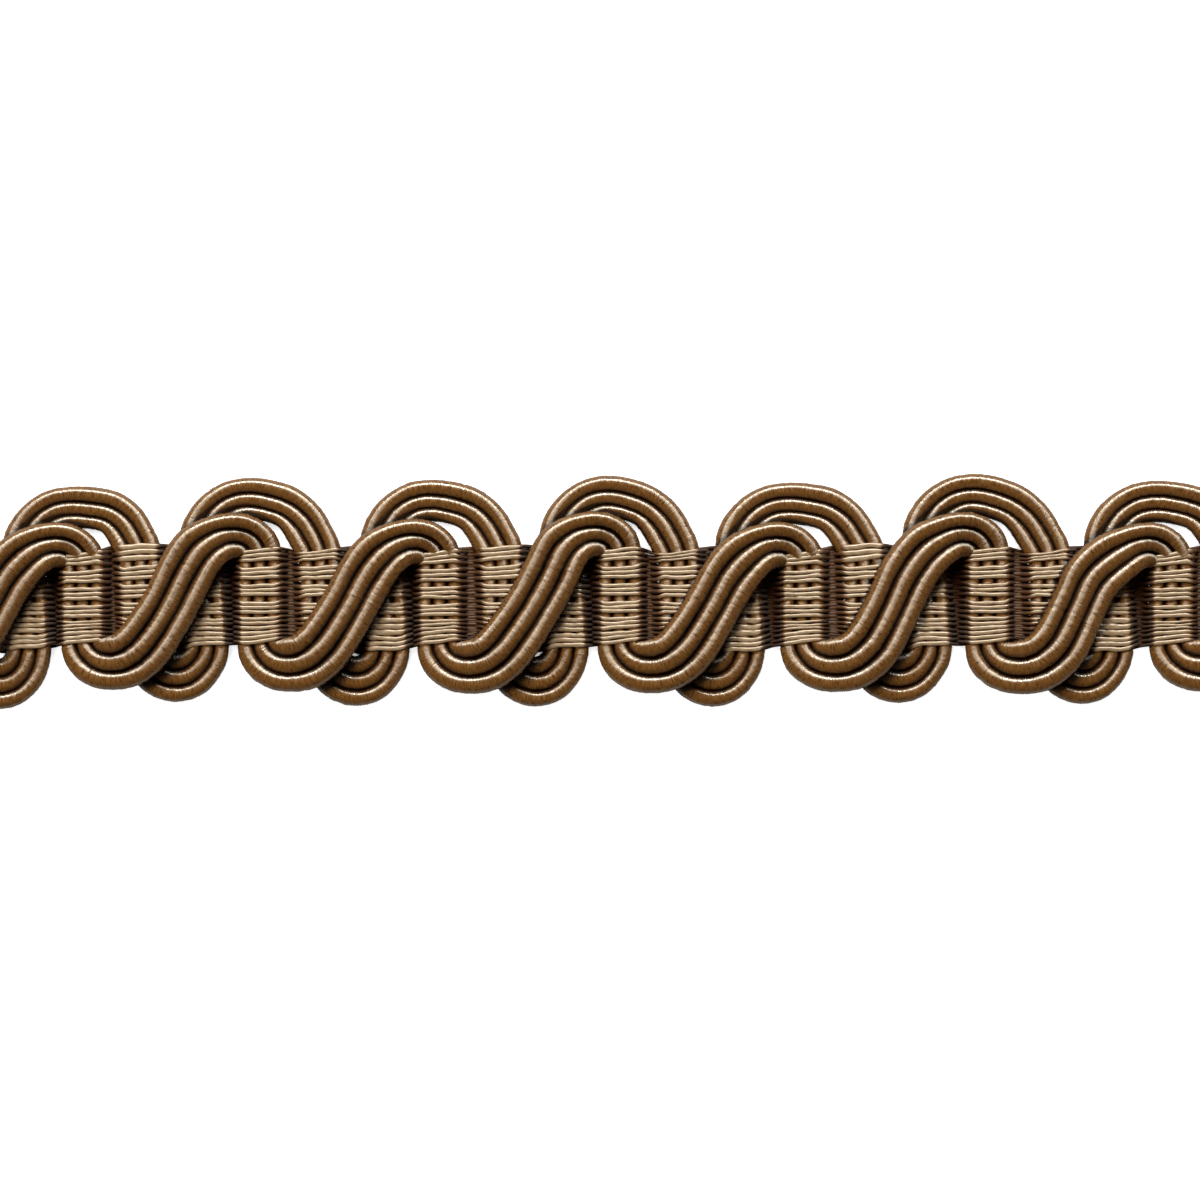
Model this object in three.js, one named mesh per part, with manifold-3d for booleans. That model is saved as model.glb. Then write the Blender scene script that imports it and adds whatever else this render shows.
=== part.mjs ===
// Gimp braid trim, a cut length of seven repeats.
// Six wound cords, in a front and a back bundle of three, loop through a narrow band of warp threads.
// Millimetres. The trim runs along X, its loops reach out in Y, its face is +Z and its back lies on Z = 0.

import * as THREE from 'three';
import { mergeVertices } from 'three/addons/utils/BufferGeometryUtils.js';
import Module from 'manifold-3d';

const manifold = await Module();
manifold.setup();

// Overall sizes
const cutLength = 89;
const bandCentreY = -0.74;

// Wound cords
const cordDiameter = 0.72;
const cordSides = 7;
const legPitch = 1;
const legHeight = 0.85;

// Warp band: six groups of threads, called dents, side by side across the band
const dentCount = 6;
const dentWidth = 0.9;
const dentGap = 0.3;
const bandWidth = dentCount * dentWidth + (dentCount - 1) * dentGap;
const bandThickness = 2 * legHeight;
const threadLayer = 0.25;
const cordClearance = 0.2;
const tunnelHalfWidth = legPitch + cordDiameter / 2 + cordClearance;
const flatHalfWidth = 1.45;
const valleySlope = 0.62;
const thinnestHalfValley = 0.3;

// Loops of the standard repeat, which the rows below shift up or down
const standardFrontSpan = 12.67;
const standardBackLowSpan = 4.48;
const standardBackTopSpan = 8.19;
const standard = { frontTop: 4.17, frontLow: -4.73, backTop: 6.93, backLow: -5.81 };
const bandCore = 0.84;
const loopBlend = 2.66;
const leanCentre = 1;
const leanReach = 2.2;

// Repeats of this length of trim, as uneven as the real one. Each bundle crosses the band in legs:
// leg1 is the front bundle going down, leg2 and leg3 the back bundle going down and up, as X of the
// middle cord. lean pushes the front slope along X, and the rest is how far the middle cord's loops
// reach from the band's centre line.
const repeats = readTable(
  ['leg1', 'leg2', 'leg3', 'lean', 'frontTop', 'frontLow', 'backTop', 'backLow'],
  [
    [-50.61, -46.34, -41.79, -0.35, 4.17, -4.73, 6.93, -6.02],
    [-38.08, -33.95, -29.33, -0.38, 3.78, -4.52, 6.37, -5.53],
    [-25.69, -21.35, -16.66, -0.33, 4.43, -4.66, 7.00, -5.81],
    [-13.09, -8.61, -4.13, 0.00, 4.01, -4.80, 6.86, -5.85],
    [-0.46, 3.78, 8.26, -0.30, 4.54, -4.76, 7.14, -5.85],
    [12.32, 16.73, 21.35, -0.81, 3.80, -4.69, 6.65, -5.60],
    [25.31, 29.75, 34.09, -0.85, 4.50, -4.83, 7.28, -5.67],
    [38.19, 42.56, 46.97, -0.35, 3.77, -4.66, 6.79, -5.81],
    [50.89, 55.30, 59.71, -0.35, 4.17, -4.73, 6.93, -5.81],
  ],
);

// Front bundle from one leg1 to the next: down the leg, round the low loop, up the slope across the
// face of the band and over the top loop. The distances to the left and right cords look along the way,
// and the left cord, inside the low loop and outside the top one, climbs first and comes down last.
const frontRoute = readTable(
  ['along', 'across', 'leftHeight', 'height', 'rightHeight', 'toLeft', 'toRight'],
  [
    [0.00, 2.87, 0.85, 0.85, 0.85, 1.02, 1.02],
    [0.00, -2.87, 0.85, 0.85, 0.85, 1.02, 1.02],
    [0.18, -3.52, 0.98, 0.98, 0.95, 0.97, 1.10],
    [0.63, -4.07, 1.35, 1.20, 1.05, 1.00, 1.16],
    [1.33, -4.45, 1.70, 1.40, 1.25, 1.14, 1.20],
    [2.17, -4.56, 2.05, 1.65, 1.50, 1.25, 1.22],
    [3.15, -4.38, 2.35, 1.95, 1.80, 1.29, 1.28],
    [4.00, -3.82, 2.35, 2.25, 2.05, 1.32, 1.36],
    [4.85, -2.94, 2.35, 2.35, 2.35, 1.36, 1.36],
    [6.58, -0.49, 2.35, 2.35, 2.35, 1.31, 1.26],
    [7.81, 1.68, 2.35, 2.35, 2.35, 1.33, 1.31],
    [8.68, 3.15, 2.35, 2.35, 2.35, 1.33, 1.24],
    [9.42, 3.88, 2.35, 2.25, 2.25, 1.14, 1.14],
    [10.24, 4.26, 2.20, 1.95, 1.85, 1.02, 1.06],
    [11.13, 4.35, 1.85, 1.50, 1.25, 1.01, 1.03],
    [11.90, 4.14, 1.45, 1.15, 0.95, 1.01, 1.02],
    [12.46, 3.60, 1.10, 0.95, 0.85, 1.04, 1.00],
  ],
);

// Back bundle from leg2 to leg3: down the leg and round the low loop
const backLowRoute = readTable(
  ['along', 'across', 'height', 'toLeft', 'toRight'],
  [
    [-0.14, 3.36, 0.85, 1.02, 1.00],
    [0.14, -3.22, 0.85, 1.00, 1.00],
    [0.42, -4.36, 0.75, 1.10, 1.05],
    [1.12, -5.31, 0.65, 1.15, 1.08],
    [2.17, -5.71, 0.60, 1.18, 1.10],
    [3.22, -5.49, 0.65, 1.18, 1.08],
    [4.06, -4.66, 0.75, 1.10, 1.02],
    [4.48, -3.43, 0.85, 1.02, 1.00],
  ],
);

// Back bundle from leg3 to the next leg2: out of the band and over the top loop
const backTopRoute = readTable(
  ['along', 'across', 'height', 'toLeft', 'toRight'],
  [
    [-0.49, 3.50, 0.85, 0.98, 0.98],
    [-0.32, 4.55, 0.80, 1.04, 0.95],
    [0.14, 5.50, 0.70, 1.04, 0.95],
    [0.84, 6.31, 0.65, 1.00, 0.93],
    [1.82, 6.88, 0.60, 0.98, 0.92],
    [3.01, 7.06, 0.60, 0.98, 0.91],
    [4.34, 6.86, 0.60, 1.02, 0.90],
    [5.78, 6.38, 0.60, 1.04, 0.92],
    [6.87, 5.50, 0.65, 1.04, 1.05],
    [7.55, 4.45, 0.75, 1.02, 1.06],
  ],
);

// Edges of the warp band beside each leg. Where follows is 1 the upper edge keeps under the front
// bundle's top loop, which pulls it down.
const bandEdges = readTable(
  ['leg', 'offset', 'upper', 'lower', 'follows'],
  [
    ['leg1', -1.96, 2.36, -3.50, 1],
    ['leg1', -1.00, 2.55, -3.10, 1],
    ['leg1', 1.00, 3.20, -2.60, 0],
    ['leg1', 2.10, 3.00, -2.60, 0],
    ['leg2', -1.00, 3.50, -3.10, 0],
    ['leg2', 1.00, 3.80, -3.15, 0],
    ['leg2', 2.20, 3.70, -3.25, 0],
    ['leg3', 0.00, 3.30, -3.40, 0],
  ],
);

const cordMaterial = new THREE.MeshStandardMaterial({ color: 0x8c6d49, roughness: 0.5, metalness: 0 });
const warpMaterial = new THREE.MeshStandardMaterial({ color: 0xcdb892, roughness: 0.45, metalness: 0 });

// A tube's rings fall on the route's own points, which are close in the bends and wide on the legs
class CordPath extends THREE.CatmullRomCurve3 {
  getUtoTmapping(share) {
    return share;
  }
}

function readTable(columns, rows) {
  return rows.map((row) => Object.fromEntries(columns.map((name, index) => [name, row[index]])));
}

// 0 inside the band and 1 out in the loops
function loopShare(across) {
  return THREE.MathUtils.smoothstep(Math.abs(across), bandCore, bandCore + loopBlend);
}

function leanAt(across) {
  return Math.exp(-(((across - leanCentre) / leanReach) ** 2));
}

// The back bundle's top loops differ at their left side and peak, and hardly at the right shoulder
function shoulderShare(along) {
  return 1 - THREE.MathUtils.smoothstep(along, standardBackTopSpan / 3, standardBackTopSpan);
}

// Middle cord of the front bundle
function frontMiddle() {
  const points = [];
  for (let index = 0; index + 1 < repeats.length; index += 1) {
    const here = repeats[index];
    const next = repeats[index + 1];
    const stretch = (next.leg1 - here.leg1) / standardFrontSpan;
    for (const row of frontRoute) {
      const onSlope = row.height > 2.3;
      const topOf = row.along === 0 ? here : next;
      const shift = row.across < 0 ? here.frontLow - standard.frontLow : topOf.frontTop - standard.frontTop;
      points.push({
        ...row,
        x: here.leg1 + row.along * stretch + (onSlope ? here.lean * leanAt(row.across) : 0),
        y: row.across + shift * loopShare(row.across),
      });
    }
  }
  return points;
}

// Middle cord of the back bundle
function backMiddle() {
  const points = [];
  for (let index = 0; index + 1 < repeats.length; index += 1) {
    const here = repeats[index];
    const next = repeats[index + 1];
    const lowStretch = (here.leg3 - here.leg2) / standardBackLowSpan;
    const topStretch = (next.leg2 - here.leg3) / standardBackTopSpan;
    const lowShift = here.backLow - standard.backLow;
    const topShift = next.backTop - standard.backTop;
    for (const row of backLowRoute) {
      const share = row.height < legHeight ? loopShare(row.across) : 0;
      points.push({ ...row, x: here.leg2 + row.along * lowStretch, y: row.across + lowShift * share });
    }
    for (const row of backTopRoute) {
      const share = row.height < legHeight ? loopShare(row.across) * shoulderShare(row.along) : 0;
      points.push({ ...row, x: here.leg3 + row.along * topStretch, y: row.across + topShift * share });
    }
  }
  return points;
}

// Direction of travel at each point of the middle cord, where the nearer neighbour counts more
function directionAt(points, index) {
  const here = new THREE.Vector2(points[index].x, points[index].y);
  const before = points[Math.max(index - 1, 0)];
  const after = points[Math.min(index + 1, points.length - 1)];
  const back = here.clone().sub(new THREE.Vector2(before.x, before.y));
  const ahead = new THREE.Vector2(after.x, after.y).sub(here);
  const backLength = back.length();
  const aheadLength = ahead.length();
  if (backLength === 0) {
    return ahead.normalize();
  }
  if (aheadLength === 0) {
    return back.normalize();
  }
  ahead.multiplyScalar(backLength / aheadLength);
  back.multiplyScalar(aheadLength / backLength);
  return ahead.add(back).normalize();
}

// One cord of a bundle: side is 1 for the left cord, 0 for the middle one and -1 for the right cord
function cordPoints(middle, side) {
  return middle.map((point, index) => {
    const way = directionAt(middle, index);
    let distance = 0;
    let height = point.height;
    if (side > 0) {
      distance = point.toLeft;
      height = point.leftHeight ?? point.height;
    }
    if (side < 0) {
      distance = -point.toRight;
      height = point.rightHeight ?? point.height;
    }
    return new THREE.Vector3(point.x - way.y * distance, point.y + way.x * distance, height);
  });
}

// The trim is cut straight across at both ends
function cutToLength(points) {
  const end = cutLength / 2;
  const kept = [];
  for (let index = 0; index < points.length; index += 1) {
    const point = points[index];
    const before = points[index - 1];
    if (before) {
      for (const cut of [-end, end]) {
        if (before.x < cut && point.x > cut) {
          kept.push(before.clone().lerp(point, (cut - before.x) / (point.x - before.x)));
        }
      }
    }
    if (Math.abs(point.x) < end) {
      kept.push(point);
    }
  }
  return kept;
}

function cordSection() {
  const section = new THREE.Shape();
  for (let side = 0; side < cordSides; side += 1) {
    const angle = ((side + 0.5) / cordSides) * 2 * Math.PI;
    const x = (cordDiameter / 2) * Math.cos(angle);
    const y = (cordDiameter / 2) * Math.sin(angle);
    if (side === 0) {
      section.moveTo(x, y);
    } else {
      section.lineTo(x, y);
    }
  }
  section.closePath();
  return section;
}

function makeCord(name, middle, side) {
  const points = cutToLength(cordPoints(middle, side));
  const geometry = new THREE.ExtrudeGeometry(cordSection(), {
    steps: points.length - 1,
    bevelEnabled: false,
    extrudePath: new CordPath(points, false, 'centripetal'),
  });
  const cord = new THREE.Mesh(geometry, cordMaterial);
  cord.name = name;
  return cord;
}

// X of the middle cord of a leg, at a height across the band
function legX(top, bottom, across) {
  const share = (top.y - across) / (top.y - bottom.y);
  return THREE.MathUtils.lerp(top.x, bottom.x, share);
}

// The legs that one dent crosses inside the cut length, in order along X
function legsAcross(across) {
  const front = frontMiddle();
  const back = backMiddle();
  const found = [];
  for (const points of [front, back]) {
    for (let index = 0; index + 1 < points.length; index += 1) {
      const top = points[index];
      const bottom = points[index + 1];
      const isLeg = top.height === legHeight && bottom.height === legHeight;
      if (isLeg) {
        found.push(legX(top, bottom, across));
      }
    }
  }
  const reach = cutLength / 2 - tunnelHalfWidth;
  return found.filter((x) => Math.abs(x) < reach).sort((a, b) => a - b);
}

// Half the height of the valley between two legs, where the threads dive past each other
function halfValley(spacing) {
  const run = spacing / 2 - flatHalfWidth;
  return Math.max(legHeight - valleySlope * run, thinnestHalfValley);
}

// Edges of the valleys and flats along a dent, with half the dent's thickness at each
function dentProfile(legs) {
  const end = cutLength / 2;
  const profile = [{ x: -end, half: thinnestHalfValley }];
  for (const [index, x] of legs.entries()) {
    profile.push({ x: x - flatHalfWidth, half: legHeight }, { x: x + flatHalfWidth, half: legHeight });
    if (index + 1 < legs.length) {
      profile.push({ x: (x + legs[index + 1]) / 2, half: halfValley(legs[index + 1] - x) });
    }
  }
  profile.push({ x: end, half: thinnestHalfValley });
  return profile;
}

// A strip across the band with the outline given as X and Z, from the band's centre line towards -Y
function extrudeAcross(outline, depth) {
  const geometry = new THREE.ExtrudeGeometry(new THREE.Shape(outline), { depth, bevelEnabled: false });
  geometry.rotateX(Math.PI / 2);
  return geometry;
}

// The stretch of a dent round one leg, from valley to valley, without its tunnel
function legBlock(stretch) {
  const under = stretch.map(({ x, half }) => new THREE.Vector2(x, legHeight - half));
  const over = stretch.map(({ x, half }) => new THREE.Vector2(x, legHeight + half));
  return extrudeAcross([...under, ...over.reverse()], dentWidth);
}

// The passage that one leg's three cords take between the threads over and under them
function legTunnel(x) {
  const halfHeight = legHeight - threadLayer;
  const outline = [
    new THREE.Vector2(x - tunnelHalfWidth, legHeight - halfHeight),
    new THREE.Vector2(x + tunnelHalfWidth, legHeight - halfHeight),
    new THREE.Vector2(x + tunnelHalfWidth, legHeight + halfHeight),
    new THREE.Vector2(x - tunnelHalfWidth, legHeight + halfHeight),
  ];
  const tunnel = extrudeAcross(outline, dentWidth + 2 * dentGap);
  tunnel.translate(0, dentGap, 0);
  return tunnel;
}

function toSolid(geometry) {
  geometry.deleteAttribute('normal');
  geometry.deleteAttribute('uv');
  const merged = mergeVertices(geometry);
  return new manifold.Manifold(
    new manifold.Mesh({
      numProp: 3,
      vertProperties: new Float32Array(merged.getAttribute('position').array),
      triVerts: new Uint32Array(merged.getIndex().array),
    }),
  );
}

function toGeometry(solid) {
  const mesh = solid.getMesh();
  const indexed = new THREE.BufferGeometry();
  indexed.setAttribute('position', new THREE.BufferAttribute(mesh.vertProperties, mesh.numProp));
  indexed.setIndex(new THREE.BufferAttribute(mesh.triVerts, 1));
  return indexed.toNonIndexed();
}

// A straight dent: its leg blocks joined at the valleys, less the tunnels
function straightDent(legs) {
  const profile = dentProfile(legs);
  const pointsPerLeg = 3;
  const blocks = legs.map((x, index) => {
    const first = index * pointsPerLeg;
    return toSolid(legBlock(profile.slice(first, first + pointsPerLeg + 1)));
  });
  const tunnels = legs.map((x) => toSolid(legTunnel(x)));
  const body = manifold.Manifold.union(blocks);
  return toGeometry(body.subtract(manifold.Manifold.union(tunnels)));
}

// The band's edges along the trim, as points in order of X
function edgeKnots() {
  const knots = [];
  for (const here of repeats) {
    for (const row of bandEdges) {
      const pull = row.follows * (here.frontTop - standard.frontTop);
      knots.push({ x: here[row.leg] + row.offset, upper: row.upper + pull, lower: row.lower });
    }
  }
  return knots;
}

// Y of a thread that lies at a share of the band's width, 0 at the lower edge and 1 at the upper
function bandY(knots, x, share) {
  const next = Math.max(knots.findIndex((knot) => knot.x > x), 1);
  const before = knots[next - 1];
  const after = knots[next];
  const t = (x - before.x) / (after.x - before.x);
  const lower = THREE.MathUtils.lerp(before.lower, after.lower, t);
  const upper = THREE.MathUtils.lerp(before.upper, after.upper, t);
  return THREE.MathUtils.lerp(lower, upper, share);
}

function makeDent(number) {
  const upperSide = bandWidth / 2 - (number - 1) * (dentWidth + dentGap);
  const knots = edgeKnots();
  const geometry = straightDent(legsAcross(upperSide - dentWidth / 2));
  geometry.translate(0, upperSide, 0);
  const positions = geometry.getAttribute('position');
  for (let index = 0; index < positions.count; index += 1) {
    const share = positions.getY(index) / bandWidth + 0.5;
    positions.setY(index, bandY(knots, positions.getX(index), share));
  }
  geometry.computeVertexNormals();
  const dent = new THREE.Mesh(geometry, warpMaterial);
  dent.name = `warp_dent_${number}`;
  return dent;
}

const trim = new THREE.Group();
trim.position.y = bandCentreY;

const front = frontMiddle();
const back = backMiddle();
for (const [index, side] of [1, 0, -1].entries()) {
  trim.add(makeCord(`front_cord_${index + 1}`, front, side));
  trim.add(makeCord(`back_cord_${index + 1}`, back, side));
}
for (let number = 1; number <= dentCount; number += 1) {
  trim.add(makeDent(number));
}

export default trim;
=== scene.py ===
"""Gimp braid trim: wound cords, warp threads, light and camera over the fixed frame.

Lengths are in millimetres until a mesh is written, X along the trim, Y towards the large loops and
Z out of the face.
"""

import logging
import math
from dataclasses import dataclass
from enum import Enum
from typing import NamedTuple

import bpy
import numpy as np
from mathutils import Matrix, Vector


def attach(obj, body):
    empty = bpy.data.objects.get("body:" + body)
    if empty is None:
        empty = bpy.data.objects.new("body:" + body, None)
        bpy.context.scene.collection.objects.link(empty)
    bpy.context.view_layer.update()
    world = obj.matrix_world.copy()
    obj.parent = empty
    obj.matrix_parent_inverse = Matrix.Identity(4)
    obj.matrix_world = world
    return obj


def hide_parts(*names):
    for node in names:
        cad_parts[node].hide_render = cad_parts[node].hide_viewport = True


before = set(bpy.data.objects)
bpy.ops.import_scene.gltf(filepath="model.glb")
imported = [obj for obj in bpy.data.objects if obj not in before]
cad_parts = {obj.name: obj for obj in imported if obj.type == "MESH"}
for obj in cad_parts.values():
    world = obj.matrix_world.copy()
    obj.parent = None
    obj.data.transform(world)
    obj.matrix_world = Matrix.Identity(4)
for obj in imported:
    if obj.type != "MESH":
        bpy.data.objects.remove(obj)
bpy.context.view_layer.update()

MM = 0.001
CUT_END = 44.5
BAND_CENTRE_Y = -0.74
LEG_HEIGHT = 0.85
# Openness thresholds: the painted crevice shade runs from its deepest to its half way colour up to
# DEEP_END, and gives way to the open colour from MOUTH_START. Crevices are dull up to DULL_END.
DEEP_END, MOUTH_START, DULL_END = 0.4, 0.3, 0.5
TONE_EDGES = (0.3, 0.7)
SAMPLES_A_KNOT = 40
MERGE_DISTANCE = 1e-6
TINY = 1e-6
SMOOTH_ANGLE = math.radians(75)

log = logging.getLogger("gimp_braid")


class Side(Enum):
    """A cord's place in its bundle, looking along the way it runs."""

    LEFT = 1
    MIDDLE = 0
    RIGHT = -1


class Repeat(NamedTuple):
    """One repeat of the braid: where its legs cross the band and how far its loops reach."""

    leg1: float
    leg2: float
    leg3: float
    lean: float
    front_top: float
    front_low: float
    back_top: float
    back_low: float


class Station(NamedTuple):
    """A point of a bundle's route: the middle cord's place, the heights and the pitches."""

    along: float
    across: float
    left_height: float
    height: float
    right_height: float
    to_left: float
    to_right: float


class BandRow(NamedTuple):
    """Where the band's edges and the gaps between its thread groups lie, at one place by a leg.

    The last three say how far each of them follows the reach of the front loop.
    """

    leg: str
    offset: float
    top: float
    gap1: float
    gap2: float
    gap3: float
    gap4: float
    gap5: float
    bottom: float
    top_follows: float
    gaps_follow: float
    low_follows: float


STANDARD = Repeat(0.0, 0.0, 0.0, 0.0, 4.17, -4.73, 6.93, -5.81)
FRONT_SPAN, BACK_LOW_SPAN, BACK_TOP_SPAN = 12.67, 4.48, 8.19

REPEATS = tuple(Repeat(*row) for row in (
    (-50.61, -46.34, -41.79, -0.35, 4.17, -4.73, 6.93, -6.02),
    (-38.08, -33.95, -29.33, -0.38, 3.78, -4.52, 6.37, -5.53),
    (-25.69, -21.35, -16.66, -0.33, 4.43, -4.66, 7.00, -5.81),
    (-13.09, -8.61, -4.13, 0.00, 4.01, -4.80, 6.86, -5.85),
    (-0.46, 3.78, 8.26, -0.30, 4.54, -4.76, 7.14, -5.85),
    (12.32, 16.73, 21.35, -0.81, 3.80, -4.69, 6.65, -5.60),
    (25.31, 29.75, 34.09, -0.85, 4.50, -4.83, 7.28, -5.67),
    (38.19, 42.56, 46.97, -0.35, 3.77, -4.66, 6.79, -5.81),
    (50.89, 55.30, 59.71, -0.35, 4.17, -4.73, 6.93, -5.81),
))

FRONT_ROUTE = tuple(Station(*row) for row in (
    (0.00, 2.87, 0.85, 0.85, 0.85, 1.02, 1.02),
    (0.00, -2.87, 0.85, 0.85, 0.85, 1.02, 1.02),
    (0.18, -3.52, 0.90, 0.92, 0.92, 0.97, 1.10),
    (0.63, -4.07, 1.08, 1.08, 1.05, 1.00, 1.16),
    (1.33, -4.45, 1.35, 1.32, 1.25, 1.14, 1.20),
    (2.17, -4.56, 1.78, 1.65, 1.55, 1.25, 1.22),
    (3.15, -4.38, 2.15, 2.00, 1.90, 1.29, 1.28),
    (4.00, -3.82, 2.35, 2.25, 2.10, 1.32, 1.36),
    (4.85, -2.94, 2.35, 2.35, 2.35, 1.36, 1.36),
    (6.58, -0.49, 2.35, 2.35, 2.35, 1.31, 1.26),
    (7.81, 1.68, 2.35, 2.35, 2.35, 1.33, 1.31),
    (8.68, 3.15, 2.35, 2.35, 2.35, 1.33, 1.24),
    (9.42, 3.88, 2.35, 2.25, 2.25, 1.14, 1.14),
    (10.24, 4.26, 2.15, 1.95, 1.85, 1.02, 1.06),
    (11.13, 4.35, 1.75, 1.50, 1.30, 1.01, 1.03),
    (11.90, 4.14, 1.35, 1.15, 1.00, 1.01, 1.02),
    (12.46, 3.60, 1.10, 0.95, 0.85, 1.04, 1.00),
))

BACK_LOW_ROUTE = tuple(Station(*row) for row in (
    (-0.14, 3.36, 0.85, 0.85, 0.85, 1.02, 1.00),
    (0.14, -3.22, 0.85, 0.85, 0.85, 1.00, 1.00),
    (0.42, -4.36, 0.75, 0.75, 0.75, 1.10, 1.05),
    (1.12, -5.31, 0.65, 0.65, 0.65, 1.15, 1.08),
    (2.17, -5.71, 0.60, 0.60, 0.60, 1.18, 1.10),
    (3.22, -5.49, 0.65, 0.65, 0.65, 1.18, 1.08),
    (4.06, -4.66, 0.75, 0.75, 0.75, 1.10, 1.02),
    (4.48, -3.43, 0.85, 0.85, 0.85, 1.02, 1.00),
))

BACK_TOP_ROUTE = tuple(Station(*row) for row in (
    (-0.49, 3.50, 0.85, 0.85, 0.85, 0.98, 0.98),
    (-0.32, 4.55, 0.80, 0.80, 0.80, 1.04, 0.95),
    (0.14, 5.50, 0.70, 0.70, 0.70, 1.04, 0.95),
    (0.84, 6.31, 0.65, 0.65, 0.65, 1.00, 0.93),
    (1.82, 6.88, 0.60, 0.60, 0.60, 0.98, 0.92),
    (3.01, 7.06, 0.60, 0.60, 0.60, 0.98, 0.91),
    (4.34, 6.86, 0.60, 0.60, 0.60, 1.02, 0.90),
    (5.78, 6.38, 0.60, 0.60, 0.60, 1.04, 0.92),
    (6.87, 5.50, 0.65, 0.65, 0.65, 1.04, 1.05),
    (7.55, 4.45, 0.75, 0.75, 0.75, 1.02, 1.06),
))

BAND_ROWS = tuple(BandRow(*row) for row in (
    ("leg1", -1.30, 3.40, 2.42, 1.23, 0.03, -1.14, -2.10, -3.10, 0.41, 0.41, 0.0),
    ("leg1", -0.53, 3.47, 2.44, 1.24, 0.03, -1.13, -2.06, -3.04, 0.41, 0.41, 0.0),
    ("leg1", 0.53, 3.66, 2.53, 1.28, 0.05, -1.10, -1.98, -2.92, 0.35, 0.41, 0.0),
    ("leg1", 1.30, 3.78, 2.60, 1.31, 0.06, -1.08, -1.92, -2.78, 0.20, 0.35, 0.0),
    ("leg2", -1.30, 3.62, 2.56, 1.30, 0.08, -1.02, -2.05, -3.00, -0.85, 0.10, 0.0),
    ("leg2", -0.53, 3.70, 2.61, 1.32, 0.08, -1.02, -2.10, -3.05, -0.85, 0.0, 0.0),
    ("leg2", 0.53, 3.80, 2.72, 1.37, 0.09, -1.02, -2.20, -3.15, -0.75, 0.0, 0.0),
    ("leg2", 1.30, 3.90, 2.78, 1.38, 0.09, -1.02, -2.25, -3.20, -0.30, 0.0, 0.0),
    ("leg3", -2.00, 3.85, 2.70, 1.37, 0.09, -1.03, -2.27, -3.72, 0.0, 0.0, -0.30),
    ("leg3", -0.70, 3.80, 2.65, 1.35, 0.09, -1.05, -2.28, -3.30, 0.0, 0.0, -0.50),
    ("leg3", 0.70, 3.55, 2.60, 1.33, 0.09, -1.06, -2.30, -3.38, 0.0, 0.0, -0.60),
))


def smoothstep(value: np.ndarray | float, low: float, high: float) -> np.ndarray:
    """Return the smooth 0 to 1 step of value between low and high."""
    share = np.clip((np.asarray(value, dtype=float) - low) / (high - low), 0.0, 1.0)
    return share * share * (3.0 - 2.0 * share)


def ease_kernel(ease: float, step: float) -> np.ndarray:
    """Return the weights that ease a line.

    Args:
        ease: Length in millimetres over which the line is eased.
        step: Distance between the line's samples in millimetres.

    Returns:
        A bell of weights, three lengths of ease to each side.
    """
    reach = round(3 * ease / step)
    weights = np.exp(-0.5 * (np.arange(-reach, reach + 1) * step / ease) ** 2)
    return weights / weights.sum()


def curve_through(knots: np.ndarray) -> np.ndarray:
    """Run a smooth curve through the knots.

    Args:
        knots: One row a knot. The first three columns are its place, the rest follow along.

    Returns:
        Rows like the knots', closely spaced along the curve.
    """
    chords = np.linalg.norm(np.diff(knots[:, :3], axis=0), axis=1)
    clock = np.concatenate(([0.0], np.cumsum(np.sqrt(chords))))
    slopes = np.diff(knots, axis=0) / np.diff(clock)[:, None]
    gaps = np.diff(clock)[:, None]
    tangents = np.vstack((
        slopes[:1],
        (slopes[1:] * gaps[:-1] + slopes[:-1] * gaps[1:]) / (gaps[1:] + gaps[:-1]),
        slopes[-1:],
    ))
    fine = np.linspace(0.0, clock[-1], SAMPLES_A_KNOT * len(knots))
    index = np.clip(np.searchsorted(clock, fine, side="right") - 1, 0, len(knots) - 2)
    width = (clock[index + 1] - clock[index])[:, None]
    share = (fine[:, None] - clock[index][:, None]) / width
    return (
        (2 * share**3 - 3 * share**2 + 1) * knots[index]
        + (share**3 - 2 * share**2 + share) * width * tangents[index]
        + (-2 * share**3 + 3 * share**2) * knots[index + 1]
        + (share**3 - share**2) * width * tangents[index + 1]
    )


def smooth_path(knots: np.ndarray, step: float, ease: float) -> np.ndarray:
    """Run a smooth curve through the knots, sample it evenly and ease its bends.

    Args:
        knots: One row a knot. The first three columns are its place, the rest follow along.
        step: Distance between samples in millimetres.
        ease: Length in millimetres over which bends are eased.

    Returns:
        Rows like the knots', evenly spaced along the curve.
    """
    curve = curve_through(knots)
    lengths = np.linalg.norm(np.diff(curve[:, :3], axis=0), axis=1)
    run = np.concatenate(([0.0], np.cumsum(lengths)))
    even = np.arange(0.0, run[-1], step)
    samples = np.column_stack([np.interp(even, run, column) for column in curve.T])
    kernel = ease_kernel(ease, step)
    reach = len(kernel) // 2
    padded = np.pad(samples, ((reach, reach), (0, 0)), mode="edge")
    return np.column_stack([np.convolve(column, kernel, "valid") for column in padded.T])


def drift(rng: np.random.Generator, count: int, reach: int) -> np.ndarray:
    """Return a slow random wander of mean 0 and spread 1.

    Args:
        rng: Seeded generator.
        count: Number of samples.
        reach: Samples over which the wander holds its value.

    Returns:
        One value a sample.
    """
    kernel = np.hanning(2 * reach + 1)
    kernel /= np.linalg.norm(kernel)
    wander = np.convolve(rng.standard_normal(count + 4 * reach), kernel, "same")
    return wander[2 * reach : 2 * reach + count]


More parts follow.
